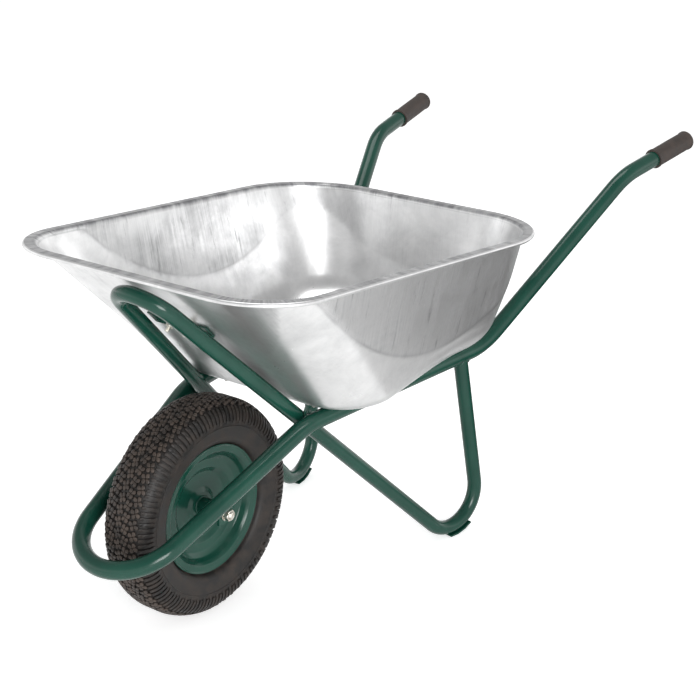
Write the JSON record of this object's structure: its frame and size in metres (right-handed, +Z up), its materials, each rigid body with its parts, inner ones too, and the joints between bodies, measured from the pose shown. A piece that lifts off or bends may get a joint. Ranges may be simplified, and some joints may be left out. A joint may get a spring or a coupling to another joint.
{
  "type": "wheelbarrow",
  "caption": "Single-wheel builder's wheelbarrow: pressed steel tray on a bent tube frame, with a pneumatic wheel, skid feet and rubber handle grips.",
  "frame": {"origin": "on the floor, midway between the front of the tube loop and the ends of the handles, on the symmetry plane", "axes": "+Y from the wheel towards the handles, +X to the user's left, +Z up; X = 0 is the symmetry plane"},
  "size_m": [0.704, 1.4066, 0.7182],
  "materials": {
    "green_enamel": "glossy dark green enamel",
    "galvanised_sheet": "bright galvanised sheet with drawing marks",
    "zinc_plate": "bright zinc plate",
    "tyre_rubber": "dull brown-black rubber",
    "butyl_rubber": "black butyl rubber",
    "grip_rubber": "dark brown rubber",
    "bush_nylon": "natural nylon",
    "cap_plastic": "black plastic"
  },
  "bodies": {
    "frame": {"axle_bracket_left": "green_enamel", "axle_bracket_right": "green_enamel", "axle_nut_left": "zinc_plate", "axle_nut_right": "zinc_plate", "axle_rod": "zinc_plate", "axle_spacer_left": "zinc_plate", "axle_spacer_right": "zinc_plate", "axle_washer_left": "zinc_plate", "axle_washer_right": "zinc_plate", "bolt_front_left": "zinc_plate", "bolt_front_right": "zinc_plate", "bolt_rear_left": "zinc_plate", "bolt_rear_right": "zinc_plate", "bolt_strap_left": "zinc_plate", "bolt_strap_right": "zinc_plate", "foot_skid_left": "green_enamel", "foot_skid_right": "green_enamel", "front_crossbar": "green_enamel", "grip_left": "grip_rubber", "grip_right": "grip_rubber", "main_frame_tube": "green_enamel", "nut_front_left": "zinc_plate", "nut_front_right": "zinc_plate", "nut_rear_left": "zinc_plate", "nut_rear_right": "zinc_plate", "nut_strap_left": "zinc_plate", "nut_strap_right": "zinc_plate", "rear_crossbar": "green_enamel", "stand_tube": "green_enamel", "tray": "galvanised_sheet", "tray_support_strap": "green_enamel", "washer_front_left": "zinc_plate", "washer_front_right": "zinc_plate", "washer_rear_left": "zinc_plate", "washer_rear_right": "zinc_plate", "washer_strap_left": "zinc_plate", "washer_strap_right": "zinc_plate"},
    "wheel": {"tyre": "tyre_rubber", "inner_tube": "butyl_rubber", "rim_left": "green_enamel", "rim_right": "green_enamel", "hub_tube": "green_enamel", "wheel_bush_left": "bush_nylon", "wheel_bush_right": "bush_nylon", "valve_stem": "zinc_plate", "valve_cap": "cap_plastic"}
  },
  "joints": [
    {"name": "wheel_spin", "type": "hinge", "parent": "frame", "child": "wheel", "pos_m": [0, -0.4425, 0.2], "axis": [1, 0, 0], "continuous": true}
  ]
}
